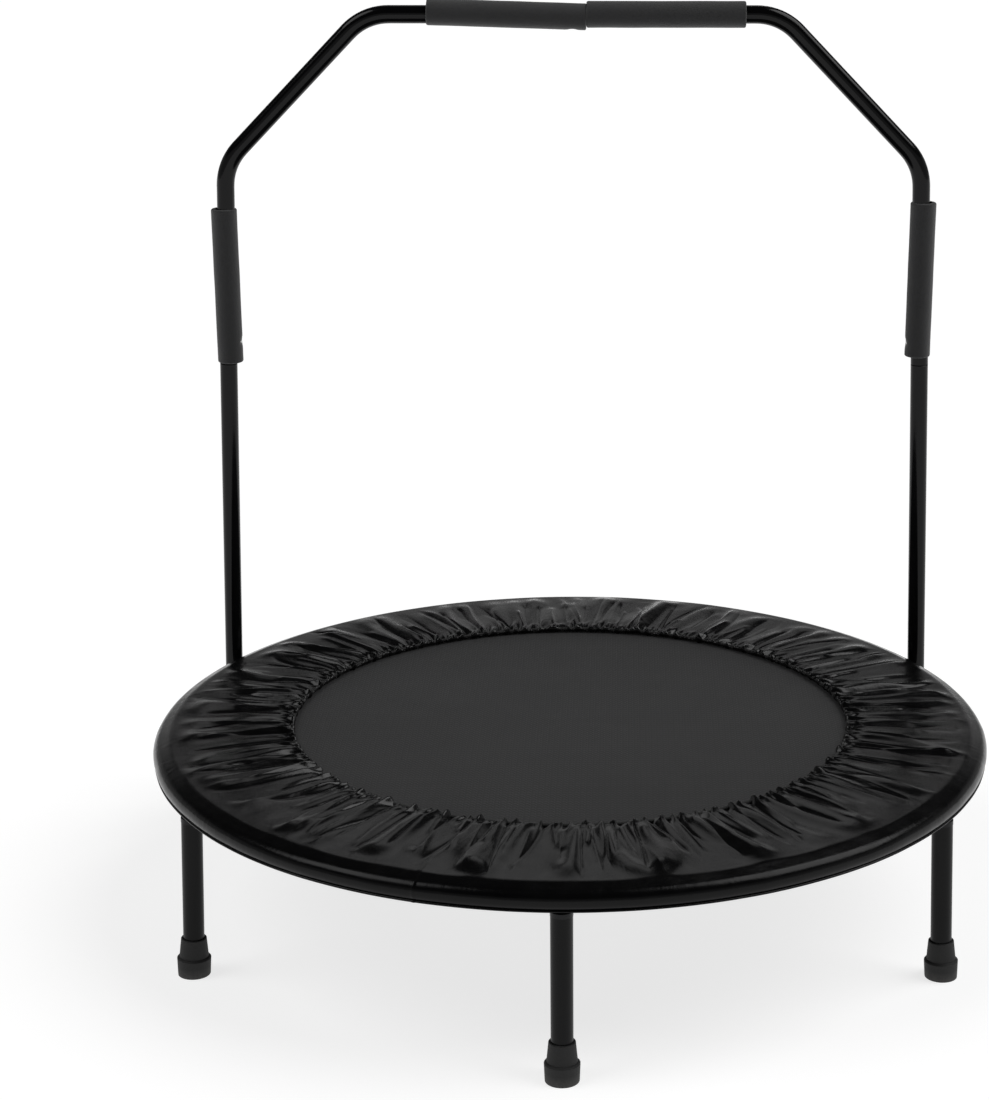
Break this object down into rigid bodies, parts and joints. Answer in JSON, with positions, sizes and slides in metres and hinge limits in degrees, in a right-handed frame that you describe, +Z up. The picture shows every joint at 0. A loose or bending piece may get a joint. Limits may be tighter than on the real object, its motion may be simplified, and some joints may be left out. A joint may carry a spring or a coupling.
{
  "type": "mini trampoline",
  "caption": "Round rebounder with a gathered cover over its springs, screw-in legs with rubber feet and a lift-off octagonal handle with foam grips.",
  "frame": {"origin": "on the floor, under the centre of the ring", "axes": "+Z up, +Y from the ring's centre towards the handle, +X to the right of a user who faces the handle"},
  "size_m": [1, 1.0232, 1.0539],
  "materials": {
    "frame_paint": "semi-gloss powder coat",
    "leg_paint": "satin powder coat",
    "handle_paint": "gloss black paint",
    "foot_rubber": "matt moulded rubber",
    "cover_fabric": "gathered coated polyester with a satin sheen",
    "elastic": "braided elastic",
    "mat_mesh": "fine woven polypropylene",
    "webbing": "matt woven webbing",
    "zinc": "bright zinc plate",
    "nickel": "polished nickel plate",
    "spring_steel": "bare spring steel",
    "cap_plastic": "moulded black plastic",
    "foam": "matt closed-cell foam"
  },
  "bodies": {
    "frame": {"ring": "frame_paint", "cover": "cover_fabric", "cover_inner_elastic": "elastic", "cover_hem_elastic": "elastic", "post_left": "handle_paint", "post_right": "handle_paint", "post_cap_left": "cap_plastic", "post_cap_right": "cap_plastic", "post_spacers": "cap_plastic", "post_bolts": "zinc", "post_nuts": "zinc", "button_clip_left": "spring_steel", "button_clip_right": "spring_steel", "socket_right_rear": "frame_paint", "socket_rear": "frame_paint", "socket_left_rear": "frame_paint", "socket_left_front": "frame_paint", "socket_front": "frame_paint", "socket_right_front": "frame_paint", "springs_right_rear": "zinc", "springs_rear": "zinc", "springs_left_rear": "zinc", "springs_left_front": "zinc", "springs_front": "zinc", "springs_right_front": "zinc", "leg_right_rear": "leg_paint", "stud_right_rear": "zinc", "foot_right_rear": "foot_rubber", "leg_left_rear": "leg_paint", "stud_left_rear": "zinc", "foot_left_rear": "foot_rubber"},
    "mat": {"mat": "mat_mesh", "mat_webbing": "webbing", "mat_loops": "zinc"},
    "handle": {"handle_left": "handle_paint", "handle_right": "handle_paint", "grip_top_left": "foam", "grip_top_right": "foam", "grip_side_left": "foam", "grip_side_right": "foam", "button_clip_top": "spring_steel"},
    "button_left": {"button_left": "nickel"},
    "button_right": {"button_right": "nickel"},
    "button_top": {"button_top": "nickel"},
    "leg_rear": {"leg_rear": "leg_paint", "stud_rear": "zinc", "foot_rear": "foot_rubber"},
    "leg_left_front": {"leg_left_front": "leg_paint", "stud_left_front": "zinc", "foot_left_front": "foot_rubber"},
    "leg_front": {"leg_front": "leg_paint", "stud_front": "zinc", "foot_front": "foot_rubber"},
    "leg_right_front": {"leg_right_front": "leg_paint", "stud_right_front": "zinc", "foot_right_front": "foot_rubber"}
  },
  "joints": [
    {"name": "mat_bounce", "type": "slide", "parent": "frame", "child": "mat", "axis": [0, 0, -1], "range_m": [0, 0.07], "stiffness_N_per_m": 6000, "deforming": ["springs_right_rear", "springs_rear", "springs_left_rear", "springs_left_front", "springs_front", "springs_right_front"]},
    {"name": "handle_lift", "type": "slide", "parent": "frame", "child": "handle", "axis": [0, 0, 1], "range_m": [0, 0.1], "deforming": ["button_left", "button_right"]},
    {"name": "button_left_press", "type": "slide", "parent": "frame", "child": "button_left", "axis": [-0.9996, -0.0004, 0.0272], "range_m": [0, 0.0072], "stiffness_N_per_m": 1500, "springref_m": -0.002, "deforming": ["button_clip_left"]},
    {"name": "button_right_press", "type": "slide", "parent": "frame", "child": "button_right", "axis": [0.9996, -0.0004, 0.0272], "range_m": [0, 0.0072], "stiffness_N_per_m": 1500, "springref_m": -0.002, "deforming": ["button_clip_right"]},
    {"name": "button_top_press", "type": "slide", "parent": "handle", "child": "button_top", "axis": [0, -0.0157, 0.9999], "range_m": [0, 0.0072], "stiffness_N_per_m": 1500, "springref_m": -0.002, "deforming": ["button_clip_top"]},
    {"name": "leg_rear_out", "type": "slide", "parent": "frame", "child": "leg_rear", "axis": [0, 0.0314, -0.9995], "range_m": [0, 0.02]},
    {"name": "leg_left_front_out", "type": "slide", "parent": "frame", "child": "leg_left_front", "axis": [-0.0272, -0.0157, -0.9995], "range_m": [0, 0.02]},
    {"name": "leg_front_out", "type": "slide", "parent": "frame", "child": "leg_front", "axis": [0, -0.0314, -0.9995], "range_m": [0, 0.02]},
    {"name": "leg_right_front_out", "type": "slide", "parent": "frame", "child": "leg_right_front", "axis": [0.0272, -0.0157, -0.9995], "range_m": [0, 0.02]}
  ]
}
